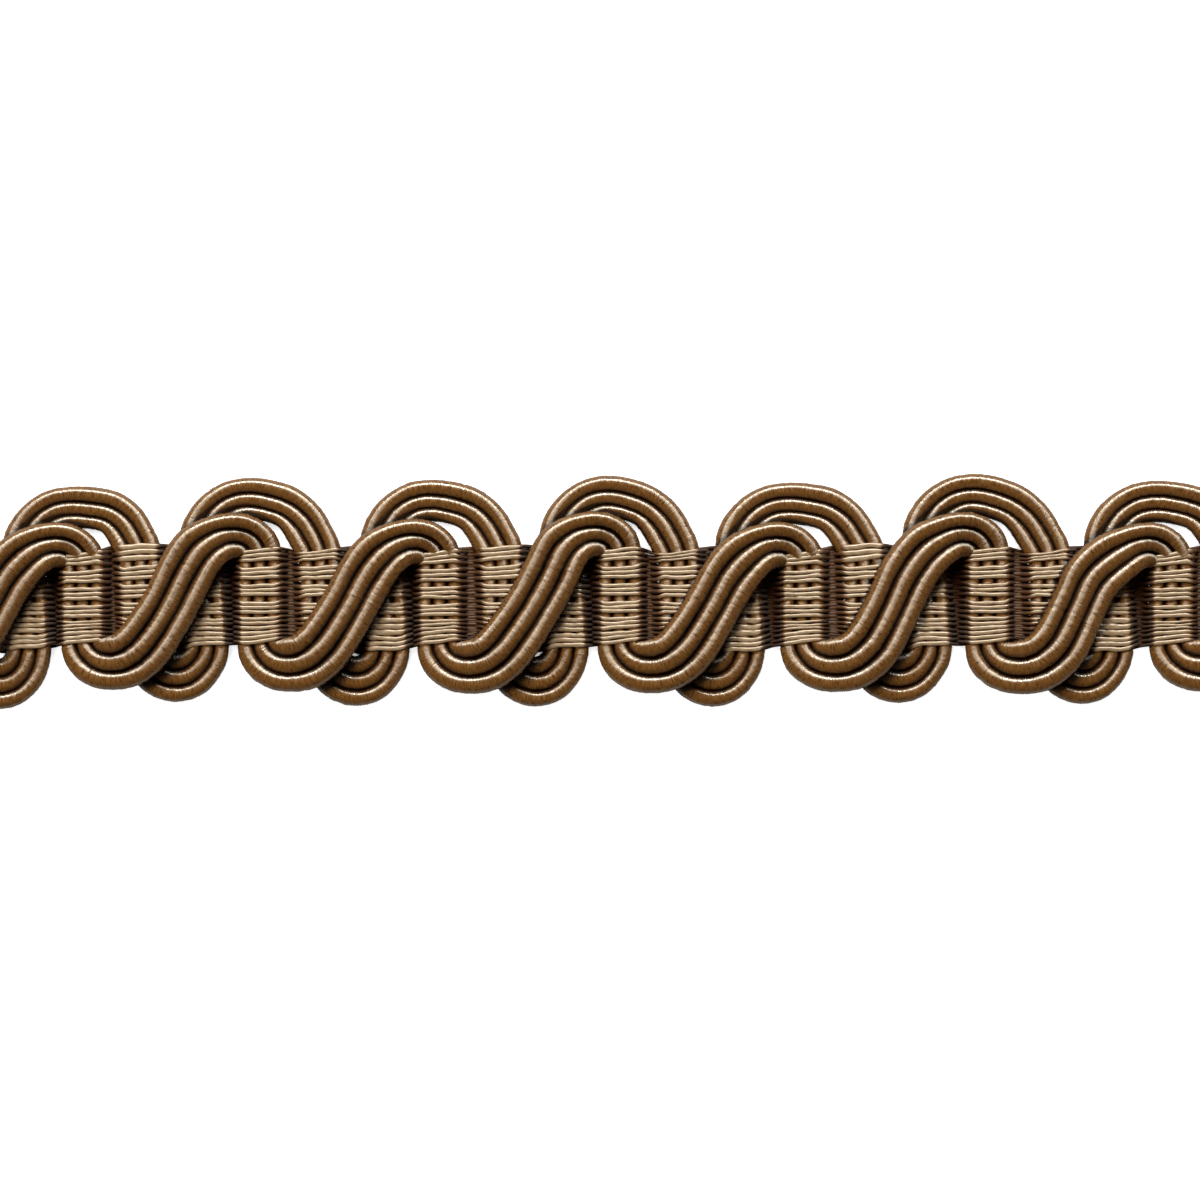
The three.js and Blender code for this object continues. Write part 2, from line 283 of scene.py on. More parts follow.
@dataclass
class ScrollPlan:
    """The routes of both bundles, as uneven as the real trim's repeats."""

    repeats: tuple[Repeat, ...] = REPEATS
    band_core: float = 0.84
    loop_blend: float = 2.66
    slope_height: float = 2.3
    lean_centre: float = 1.0
    lean_reach: float = 2.2
    core: float = 1.07
    press: float = 0.08
    squeeze: float = 0.97
    leg_reach: float = 3.45

    def loop_share(self, across: float) -> float:
        """Return 0 inside the band and 1 out in the loops."""
        return float(smoothstep(abs(across), self.band_core, self.band_core + self.loop_blend))

    def front_knots(self) -> np.ndarray:
        """Lay the front bundle's route through every repeat.

        Returns:
            One row a knot: x, y, three heights and two pitches.
        """
        knots = []
        for here, following in zip(self.repeats, self.repeats[1:]):
            stretch = (following.leg1 - here.leg1) / FRONT_SPAN
            for row in FRONT_ROUTE:
                on_slope = row.height > self.slope_height
                top_of = here if row.along == 0 else following
                if row.across < 0:
                    shift = here.front_low - STANDARD.front_low
                else:
                    shift = top_of.front_top - STANDARD.front_top
                distance = (row.across - self.lean_centre) / self.lean_reach
                lean = here.lean * math.exp(-(distance**2)) if on_slope else 0.0
                x = here.leg1 + row.along * stretch + lean
                y = row.across + shift * self.loop_share(row.across)
                knots.append((x, y, *row[2:]))
        return np.array(knots)

    def back_knots(self) -> np.ndarray:
        """Lay the back bundle's route through every repeat.

        Returns:
            One row a knot: x, y, three heights and two pitches.
        """
        knots = []
        for here, following in zip(self.repeats, self.repeats[1:]):
            low_stretch = (here.leg3 - here.leg2) / BACK_LOW_SPAN
            top_stretch = (following.leg2 - here.leg3) / BACK_TOP_SPAN
            for row in BACK_LOW_ROUTE:
                share = self.loop_share(row.across) if row.height < LEG_HEIGHT else 0.0
                shift = (here.back_low - STANDARD.back_low) * share
                knots.append((here.leg2 + row.along * low_stretch, row.across + shift, *row[2:]))
            for row in BACK_TOP_ROUTE:
                shoulder = 1.0 - float(smoothstep(row.along, BACK_TOP_SPAN / 3, BACK_TOP_SPAN))
                share = self.loop_share(row.across) * shoulder if row.height < LEG_HEIGHT else 0.0
                shift = (following.back_top - STANDARD.back_top) * share
                knots.append((here.leg3 + row.along * top_stretch, row.across + shift, *row[2:]))
        return np.array(knots)

    def leg_lines(self) -> list[tuple[np.ndarray, np.ndarray]]:
        """Find the legs of both bundles.

        Returns:
            The top and bottom point of every leg's middle cord, in order along the trim.
        """
        legs = []
        for knots in (self.front_knots(), self.back_knots()):
            for top, bottom in zip(knots, knots[1:]):
                if top[3] == LEG_HEIGHT and bottom[3] == LEG_HEIGHT:
                    legs.append((top[:2], bottom[:2]))
        return sorted(legs, key=lambda leg: leg[0][0] + leg[1][0])

    def cord_knots(self, middle: np.ndarray, side: Side, slim: float, full: float) -> np.ndarray:
        """Move the middle cord's knots to one side of the bundle.

        Args:
            middle: Knots of the middle cord.
            side: Which cord of the bundle.
            slim: Least radius, where the band and the bends squeeze the cords.
            full: Greatest radius, where the cords lie free.

        Returns:
            One row a knot: x, y, z and radius, in the model's frame.
        """
        place = middle[:, :2]
        steps = np.diff(place, axis=0)
        lengths = np.linalg.norm(steps, axis=1)[:, None]
        ways = np.empty_like(place)
        ways[0], ways[-1] = steps[0] / lengths[0], steps[-1] / lengths[-1]
        mixed = steps[1:] * lengths[:-1] / lengths[1:] + steps[:-1] * lengths[1:] / lengths[:-1]
        ways[1:-1] = mixed / np.linalg.norm(mixed, axis=1)[:, None]
        normals = np.column_stack((-ways[:, 1], ways[:, 0]))
        to_left, to_right = middle[:, 5], middle[:, 6]
        middle_radius = np.clip(self.core * (to_left + to_right) / 4, slim, full)
        if side is Side.LEFT:
            offset, height, radius = to_left, middle[:, 2], to_left - middle_radius + self.press
        elif side is Side.RIGHT:
            offset, height, radius = -to_right, middle[:, 4], to_right - middle_radius + self.press
        else:
            offset, height, radius = np.zeros(len(middle)), middle[:, 3], middle_radius
        moved = place + normals * offset[:, None]
        y = moved[:, 1] + BAND_CENTRE_Y
        in_leg = (middle[:, 3] == LEG_HEIGHT) & (np.abs(middle[:, 1]) < self.leg_reach)
        radius = np.clip(radius, slim, full) * np.where(in_leg, self.squeeze, 1.0)
        return np.column_stack((moved[:, 0], y, np.maximum(height, radius), radius))


def join_rings(count: int, sides: int, twist: int) -> tuple[np.ndarray, np.ndarray, np.ndarray]:
    """Join rings of vertices into a tube.

    Args:
        count: How many rings there are.
        sides: Vertices in a ring.
        twist: How many rings further along a ring's last side ends, 0 for closed rings.

    Returns:
        The ring, the corner of the ring and the vertex number of each quad's four corners.
    """
    first, place = np.meshgrid(np.arange(count - 1 - twist), np.arange(sides), indexing="ij")
    first, place = first.ravel(), place.ravel()
    rings = np.stack([first, first, first + 1, first + 1], axis=1)
    corners = np.stack([place, place + 1, place + 1, place], axis=1)
    closing = (rings + twist) * sides
    return rings, corners, np.where(corners == sides, closing, rings * sides + corners)


def object_from(
    name: str, vertices: np.ndarray, quads: np.ndarray, uvs: np.ndarray, openness: np.ndarray
) -> bpy.types.Object:
    """Make a mesh object of quads with a UV map.

    Args:
        name: The piece's name.
        vertices: One row a vertex, in millimetres.
        quads: One row a face, four vertex numbers.
        uvs: One row a face corner.
        openness: How freely light reaches each vertex, before its neighbours are counted; the
            materials paint it as shade.

    Returns:
        The object, linked to the scene.
    """
    mesh = bpy.data.meshes.new(name)
    mesh.from_pydata((vertices * MM).tolist(), [], quads.tolist())
    layer = mesh.uv_layers.new(name="Winding")
    layer.data.foreach_set("uv", uvs.astype(np.float32).ravel())
    shade = mesh.attributes.new("openness", "FLOAT", "POINT")
    shade.data.foreach_set("value", openness.astype(np.float32))
    mesh.update()
    piece = bpy.data.objects.new(name, mesh)
    bpy.context.scene.collection.objects.link(piece)
    return piece


def close_ends(piece: bpy.types.Object) -> None:
    """Merge doubled vertices, cap the open ends and shade the piece smooth.

    Args:
        piece: The piece.
    """
    for other in bpy.context.selected_objects:
        other.select_set(False)
    bpy.context.view_layer.objects.active = piece
    piece.select_set(True)
    bpy.ops.object.mode_set(mode="EDIT")
    bpy.ops.mesh.select_all(action="SELECT")
    bpy.ops.mesh.remove_doubles(threshold=MERGE_DISTANCE)
    bpy.ops.mesh.fill_holes(sides=0)
    bpy.ops.object.mode_set(mode="OBJECT")
    bpy.ops.object.shade_smooth_by_angle(angle=SMOOTH_ANGLE)
    piece.select_set(False)


@dataclass
class Relief:
    """The braid's relief as a height field, which tells how open each point of its faces lies.

    The materials paint this openness as shade into the colour. Neighbours count within reach of a
    point, and none as more than tallest above it.
    """

    cell: float = 0.06
    reach: float = 1.3
    first_step: float = 0.12
    steps: int = 8
    slices: int = 6
    cover: float = 0.35
    tallest: float = 0.28
    half_length: float = 47.0
    half_width: float = 11.0

    def highest(self, points: np.ndarray) -> np.ndarray:
        """Lay points on a grid.

        Args:
            points: One row a point.

        Returns:
            The greatest height in each cell.
        """
        columns = int(2 * self.half_length / self.cell) + 1
        rows = int(2 * self.half_width / self.cell) + 1
        heights = np.full((columns, rows), -self.half_width)
        np.maximum.at(heights, self.cells(points[:, :2]), points[:, 2])
        return heights

    def cells(self, places: np.ndarray) -> tuple[np.ndarray, np.ndarray]:
        """Find the grid cells of some places.

        Args:
            places: One row a place, X and Y first.

        Returns:
            The cells' columns and rows.
        """
        column = ((places[:, 0] + self.half_length) / self.cell).astype(int)
        row = ((places[:, 1] + self.half_width) / self.cell).astype(int)
        return column, row

    def horizon(self, points: np.ndarray, way: np.ndarray, heights: np.ndarray) -> np.ndarray:
        """Find the horizon in one direction.

        Args:
            points: One row a point.
            way: The direction, level and of length 1.
            heights: The grid of heights.

        Returns:
            How far from straight up the open sky reaches over each point, in radians.
        """
        angle = np.full(len(points), math.pi / 2)
        for distance in np.geomspace(self.first_step, self.reach, self.steps):
            rise = heights[self.cells(points[:, :2] + distance * way)] - points[:, 2]
            angle = np.minimum(angle, np.arctan2(distance, np.minimum(rise, self.tallest)))
        return angle

    def openness(
        self, points: np.ndarray, normals: np.ndarray, heights: np.ndarray
    ) -> np.ndarray:
        """Measure how much of its light each point keeps.

        Args:
            points: One row a point.
            normals: The surface's normal at each point.
            heights: The grid of heights.

        Returns:
            The share of each point's sky that its neighbours leave open.
        """
        seen, free = np.zeros(len(points)), np.zeros(len(points))
        for turn in math.pi * np.arange(self.slices) / self.slices:
            way = np.array((math.cos(turn), math.sin(turn)))
            lean = normals[:, :2] @ way
            weight = np.hypot(lean, normals[:, 2])
            tilt = np.arctan2(lean, normals[:, 2])
            ahead = self.horizon(points, way, heights)
            behind = -self.horizon(points, -way, heights)
            flat = np.full(len(points), math.pi / 2)
            seen += weight * (self.arc(ahead, tilt) + self.arc(behind, tilt))
            free += weight * (self.arc(flat, tilt) + self.arc(-flat, tilt))
        covered = heights[self.cells(points[:, :2])] - points[:, 2] > self.cover
        return np.where(covered, 0.0, seen / np.maximum(free, TINY))

    @staticmethod
    def arc(horizon: np.ndarray, tilt: np.ndarray) -> np.ndarray:
        """Return the light from straight up to the horizon on a surface tilted in that plane."""
        limit = tilt + np.clip(horizon - tilt, -math.pi / 2, math.pi / 2)
        return (np.cos(tilt) + 2.0 * limit * np.sin(tilt) - np.cos(2.0 * limit - tilt)) / 4.0

    def shade(self, pieces: list[bpy.types.Object], hiders: list[bpy.types.Object]) -> None:
        """Multiply each piece's openness by what the hiders leave open, on face and back.

        Args:
            pieces: The pieces to shade.
            hiders: The pieces that stand in the light.
        """
        samples = np.vstack([surface_samples(piece) for piece in hiders])
        mirror = np.array((1.0, 1.0, -1.0))
        face, back = self.highest(samples), self.highest(samples * mirror)
        for piece in pieces:
            mesh = piece.data
            points, normals = vertex_vectors(mesh, "co") / MM, vertex_vectors(mesh, "normal")
            upward = normals[:, 2] >= 0
            value = np.empty(len(points))
            value[upward] = self.openness(points[upward], normals[upward], face)
            under, outward = points[~upward] * mirror, normals[~upward] * mirror
            value[~upward] = self.openness(under, outward, back)
            own = np.empty(len(points), dtype=np.float32)
            mesh.attributes["openness"].data.foreach_get("value", own)
            mesh.attributes["openness"].data.foreach_set("value", (own * value).astype(np.float32))


def vertex_vectors(mesh: bpy.types.Mesh, key: str) -> np.ndarray:
    """Read one vector of every vertex.

    Args:
        mesh: The mesh.
        key: What to read, such as "co" or "normal".

    Returns:
        One row a vertex.
    """
    flat = np.empty(3 * len(mesh.vertices), dtype=np.float32)
    mesh.vertices.foreach_get(key, flat)
    return flat.reshape(-1, 3).astype(float)


def surface_samples(piece: bpy.types.Object, across: int = 4, along: int = 3) -> np.ndarray:
    """Spread points over every quad of a piece.

    Args:
        piece: The piece.
        across: Points across each quad.
        along: Points along each quad.

    Returns:
        One row a point, in millimetres.
    """
    mesh = piece.data
    sizes = np.empty(len(mesh.polygons), dtype=np.int32)
    starts = np.empty(len(mesh.polygons), dtype=np.int32)
    corners = np.empty(len(mesh.loops), dtype=np.int32)
    mesh.polygons.foreach_get("loop_total", sizes)
    mesh.polygons.foreach_get("loop_start", starts)
    mesh.loops.foreach_get("vertex_index", corners)
    quads = corners[starts[sizes == 4][:, None] + np.arange(4)]
    places = vertex_vectors(mesh, "co")[quads] / MM
    spread = []
    for u in np.arange(across) / across:
        for v in np.arange(along) / along:
            near = places[:, 0] * (1 - u) + places[:, 1] * u
            far = places[:, 3] * (1 - u) + places[:, 2] * u
            spread.append(near * (1 - v) + far * v)
    return np.vstack(spread)


@dataclass
class WoundCord:
    """A gimp cord: a soft core wound closely with silky yarn, each turn a fine ridge."""

    name: str
    knots: np.ndarray
    seed: int
    yarn_pitch: float = 0.14
    rings_per_turn: int = 2
    ridge: float = 0.018
    sides: int = 16
    unevenness: float = 0.014
    swell_reaches: tuple[int, int] = (3, 24)
    ease: float = 0.28

    def path(self) -> np.ndarray:
        """Run the cord's route.

        Returns:
            The samples between the two cut ends, one each half turn of yarn.
        """
        samples = smooth_path(self.knots, self.yarn_pitch / self.rings_per_turn, self.ease)
        inside = np.flatnonzero(np.abs(samples[:, 0]) < CUT_END)
        return samples[inside[0] : inside[-1] + 1]

    def radii(self, samples: np.ndarray) -> np.ndarray:
        """Let the radius swell slowly, and go up and down with each turn.

        Args:
            samples: The path's rows.

        Returns:
            The radius at each sample.
        """
        rng = np.random.default_rng(self.seed)
        count = len(samples)
        short, long = self.swell_reaches
        crest = np.where(np.arange(count) % 2 == 0, 1.0, -1.0)
        swell = 1.0 + self.unevenness * (drift(rng, count, short) + drift(rng, count, long))
        return samples[:, 3] * swell + self.ridge * crest * (0.5 + rng.random(count))

    def vertices(self, samples: np.ndarray) -> np.ndarray:
        """Wind rings of vertices round the path, each a turn of a helix.

        Args:
            samples: The path's rows.

        Returns:
            One row a vertex, ring after ring.
        """
        count = len(samples)
        tangents = np.gradient(samples[:, :3], axis=0)
        tangents /= np.linalg.norm(tangents, axis=1)[:, None]
        sideways = np.cross((0.0, 0.0, 1.0), tangents)
        sideways /= np.linalg.norm(sideways, axis=1)[:, None]
        upwards = np.cross(tangents, sideways)
        ring, corner = np.meshgrid(np.arange(count), np.arange(self.sides), indexing="ij")
        run = np.clip(ring + self.rings_per_turn * corner / self.sides, 0, count - 1)
        rows = np.arange(count)

        def spread(columns: np.ndarray) -> np.ndarray:
            """Return the columns' values at each vertex's place along the path."""
            return np.stack([np.interp(run, rows, column) for column in columns.T], axis=-1)

        angle = 2.0 * math.pi * corner / self.sides - math.pi / 2
        reach = np.interp(ring, rows, self.radii(samples))
        across, out = np.cos(angle)[..., None], np.sin(angle)[..., None]
        way = across * spread(sideways) + out * spread(upwards)
        return (spread(samples[:, :3]) + way * reach[..., None]).reshape(-1, 3)

    def build(self) -> bpy.types.Object:
        """Wind the yarn round the path as one helical surface with closed ends.

        Returns:
            The cord's object, replacing its CAD node.
        """
        samples = self.path()
        vertices = self.vertices(samples)
        turn = self.rings_per_turn
        rings, corners, quads = join_rings(len(samples), self.sides, turn)
        along = (rings + turn * corners / self.sides) * self.yarn_pitch / turn
        uvs = np.stack((along, corners / self.sides), axis=-1).reshape(-1, 2)
        piece = object_from(f"wound_{self.name}", vertices, quads, uvs, np.ones(len(vertices)))
        close_ends(piece)
        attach(piece, "root")
        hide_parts(self.name)
        return piece


@dataclass
class WarpBand:
    """The woven band: six groups of six silky threads that cross between the legs of cord."""

    plan: ScrollPlan
    rows: tuple[BandRow, ...] = BAND_ROWS
    groups: int = 6
    gap_heights: tuple[float, ...] = (0.0, 0.36, 0.33, 0.33, 0.20, 0.06, 0.0)
    row_ease: float = 0.35
    dive: tuple[float, float] = (1.4, 2.0)
    packing: tuple[float, float] = (1.0, 1.7)
    # Painted shade in the valleys: from shadow[0] to shadow[1] mm off the nearest leg a thread's
    # openness falls to that valley's valley_light.
    shadow: tuple[float, float] = (0.95, 1.5)
    valley_light: tuple[float, ...] = (0.30, 0.12, 0.0)
    crown_wave: float = 0.03
    lift: float = 0.54
    fullness: float = 0.96
    spread_height: float = 0.20
    crossing_height: float = 0.22
    crossing_fullness: float = 1.4
    wander: float = 0.02
    width_change: float = 0.04
    wander_reaches: tuple[int, int, int] = (7, 5, 4)
    step: float = 0.15
    sides: int = 8
    threads: int = 6
    uv_step: float = 100.0
    seed: int = 700

    def row_lines(self, x: np.ndarray) -> np.ndarray:
        """Return the lines between the thread groups, from the band's upper to its lower edge.

        Args:
            x: Even samples along the trim.

        Returns:
            One row a line, one column a sample.
        """
        knots = []
        for here in self.plan.repeats:
            shift = here.front_top - STANDARD.front_top
            for row in self.rows:
                gaps = [gap + row.gaps_follow * shift for gap in row[3:7]]
                low = [edge + row.low_follows * shift for edge in row[7:9]]
                place = getattr(here, row.leg) + row.offset
                knots.append((place, row.top + row.top_follows * shift, *gaps, *low))
        table = np.array(knots)
        kernel = ease_kernel(self.row_ease, self.step)
        lines = []
        for column in range(1, table.shape[1]):
            line = np.interp(x, table[:, 0], table[:, column])
            lines.append(np.convolve(np.pad(line, len(kernel) // 2, mode="edge"), kernel, "valid"))
        return np.array(lines)

    def leg_centres(self, across: float) -> np.ndarray:
        """Find where the legs cross a line along the band.

        Args:
            across: The line's y.

        Returns:
            The x of every leg's middle cord.
        """
        centres = []
        for top, bottom in self.plan.leg_lines():
            share = (top[1] - across) / (top[1] - bottom[1])
            centres.append(top[0] + (bottom[0] - top[0]) * share)
        return np.array(centres)

    def weave(self, x: np.ndarray, legs: np.ndarray, parity: int) -> tuple[np.ndarray, ...]:
        """Place a thread over or under the cords.

        Args:
            x: Samples along the trim.
            legs: The x of every leg that the thread meets.
            parity: 0 for a thread that starts over the first leg, 1 for one that starts under it.

        Returns:
            The thread's height at each x, how far it lies spread (1) or packed (0), and how much
            of the light reaches it, which the material paints as shade into its colour.
        """
        before = np.clip(np.searchsorted(legs, x) - 1, 0, len(legs) - 2)
        from_before, to_after = x - legs[before], legs[before + 1] - x
        goes_over_before = (before + parity) % 2 == 0
        from_crossed = np.where(goes_over_before, from_before, to_after)
        over = 1.0 - smoothstep(from_crossed, *self.dive)
        crown = self.crown_wave * np.cos(2.0 * math.pi * from_crossed) * over
        height = LEG_HEIGHT - self.lift + 2.0 * self.lift * over + crown
        nearest = np.minimum(from_before, to_after)
        spread = 1.0 - smoothstep(nearest, *self.packing)
        # Painted shade: threads darken towards the middle of each valley between legs.
        least = np.array(self.valley_light)[before % 3]
        return height, spread, 1.0 - (1.0 - least) * smoothstep(nearest, *self.shadow)

    def thread(self, group: int, number: int, rng: np.random.Generator) -> tuple[np.ndarray, ...]:
        """Shape one warp thread.

        Args:
            group: Which group of the band, from 0 at the upper edge.
            number: Which of the group's six threads.
            rng: Seeded generator.

        Returns:
            The thread's rings of vertices, its path's x and the light that reaches each ring.
        """
        x = np.arange(-CUT_END, CUT_END + self.step / 2, self.step)
        lines = self.row_lines(x)
        upper, lower = lines[group], lines[group + 1]
        top = upper - self.gap_heights[group] / 2
        low = lower + self.gap_heights[group + 1] / 2
        spread_pitch = (top - low) / (self.threads // 2)
        crossing_pitch = (upper - lower) / self.threads
        legs = self.leg_centres(float(((upper + lower) / 2).mean()))
        height, spread, light = self.weave(x, legs, number % 2)
        spread_y = (top + low) / 2 + (1 - number // 2) * spread_pitch
        crossing_y = (upper + lower) / 2 + ((self.threads - 1) / 2 - number) * crossing_pitch
        y = crossing_y + (spread_y - crossing_y) * spread
        sideways, upwards, wider = self.wander_reaches
        y = y + self.wander * drift(rng, len(x), sideways) + BAND_CENTRE_Y
        z = height + self.wander * drift(rng, len(x), upwards)
        packed = crossing_pitch * self.crossing_fullness
        wide = (packed + (spread_pitch * self.fullness - packed) * spread) / 2
        wide = wide * (1 + self.width_change * drift(rng, len(x), wider))
        tall = (self.crossing_height + (self.spread_height - self.crossing_height) * spread) / 2
        return self.rings(np.column_stack((x, y, z)), wide, tall), x, light

    def rings(self, path: np.ndarray, wide: np.ndarray, tall: np.ndarray) -> np.ndarray:
        """Set a ring of vertices round each place of a thread.

        Args:
            path: One row a place.
            wide: Half the thread's width at each.
            tall: Half its height at each.

        Returns:
            The vertices by ring and corner.
        """
        angle = 2.0 * math.pi * np.arange(self.sides) / self.sides
        x, y, z = path.T
        slope = np.gradient(z, x)
        lean = slope / np.sqrt(1.0 + slope**2)
        rise = 1.0 / np.sqrt(1.0 + slope**2)
        rings = np.empty((len(x), self.sides, 3))
        rings[..., 0] = x[:, None] - np.sin(angle) * (tall * lean)[:, None]
        rings[..., 1] = y[:, None] + np.cos(angle) * wide[:, None]
        rings[..., 2] = z[:, None] + np.sin(angle) * (tall * rise)[:, None]
        return rings

    def build(self) -> list[bpy.types.Object]:
        """Weave the six groups.

        Returns:
            One piece of six threads a group, each replacing its CAD node.
        """
        pieces = []
        for group in range(self.groups):
            rng = np.random.default_rng(self.seed + group)
            vertices, quads, uvs, openness = [], [], [], []
            for number in range(self.threads):
                rings, x, light = self.thread(group, number, rng)
                places, corners, faces = join_rings(len(x), self.sides, 0)
                along = x[places] + self.uv_step * number
                vertices.append(rings.reshape(-1, 3))
                quads.append(faces + number * len(x) * self.sides)
                uvs.append(np.stack((along, corners / self.sides), axis=-1).reshape(-1, 2))
                openness.append(np.repeat(light, self.sides))
            name = f"warp_threads_{group + 1}"
            shade = np.concatenate(openness)
            piece = object_from(name, np.vstack(vertices), np.vstack(quads), np.vstack(uvs), shade)
            close_ends(piece)
            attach(piece, "root")
            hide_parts(f"warp_dent_{group + 1}")
            pieces.append(piece)
            log.info("%s: %d faces", name, len(piece.data.polygons))
        return pieces


Colour = tuple[float, float, float, float]


@dataclass
class NodeSheet:
    """A short way to lay out a material's nodes."""

    tree: bpy.types.NodeTree
    column: int = 0
    spacing: int = 180

    def add(self, kind: str, **settings: object) -> bpy.types.Node:
        """Add a node.

        Args:
            kind: The node's type.
            settings: Its properties.

        Returns:
            The node.
        """
        node = self.tree.nodes.new(kind)
        node.location = (self.column * self.spacing, 0)
        self.column += 1
        for key, value in settings.items():
            setattr(node, key, value)
        return node

    def join(self, source: bpy.types.NodeSocket, target: bpy.types.NodeSocket) -> None:
        """Link one socket to another."""
        self.tree.links.new(source, target)

    def value(self, node: bpy.types.Node, socket: str | int, value: object) -> None:
        """Set a socket's own value."""
        node.inputs[socket].default_value = value


def new_material(name: str) -> tuple[bpy.types.Material, NodeSheet, bpy.types.Node]:
    """Make a material.

    Args:
        name: The material's name.

    Returns:
        The material, its node sheet and its shader node.
    """
    material = bpy.data.materials.new(name)
    material.use_nodes = True
    sheet = NodeSheet(material.node_tree)
    return material, sheet, material.node_tree.nodes["Principled BSDF"]


def crevice_shade_group() -> bpy.types.NodeTree:
    """Lay out, once, the shared node group that masks the painted crevice shade, telling crevices
    from the open.

    Returns:
        The group, whose output is 0 deep between cords and threads and 1 in the open.
    """
    name = "crevice"
    if name in bpy.data.node_groups:
        return bpy.data.node_groups[name]
    group = bpy.data.node_groups.new(name, "ShaderNodeTree")
    for label, default in (("Deep", 0.5), ("Open", 1.0)):
        socket = group.interface.new_socket(label, in_out="INPUT", socket_type="NodeSocketFloat")
        socket.default_value = default
    group.interface.new_socket("Openness", in_out="OUTPUT", socket_type="NodeSocketFloat")
    sheet = NodeSheet(group)
    source = sheet.add("NodeGroupInput")
    hollow = sheet.add("ShaderNodeAttribute", attribute_type="GEOMETRY", attribute_name="openness")
    span = sheet.add("ShaderNodeMapRange", interpolation_type="SMOOTHSTEP")
    sheet.join(hollow.outputs["Fac"], span.inputs["Value"])
    sheet.join(source.outputs["Deep"], span.inputs["From Min"])
    sheet.join(source.outputs["Open"], span.inputs["From Max"])
    result = sheet.add("NodeGroupOutput")
    sheet.join(span.outputs["Result"], result.inputs["Openness"])
    return group


def stretch(
    sheet: NodeSheet,
    value: bpy.types.NodeSocket,
    source: tuple[float, float],
    target: tuple[float, float] = (0.0, 1.0),
) -> bpy.types.NodeSocket:
    """Map a value evenly from one range to another.

    Args:
        sheet: The material's nodes.
        value: The value.
        source: The range to map from.
        target: The range to map to.

    Returns:
        The mapped value, held at the target's ends.
    """
    spread = sheet.add("ShaderNodeMapRange")
    sheet.join(value, spread.inputs["Value"])
    sheet.value(spread, "From Min", source[0])
    sheet.value(spread, "From Max", source[1])
    sheet.value(spread, "To Min", target[0])
    sheet.value(spread, "To Max", target[1])
    return spread.outputs["Result"]


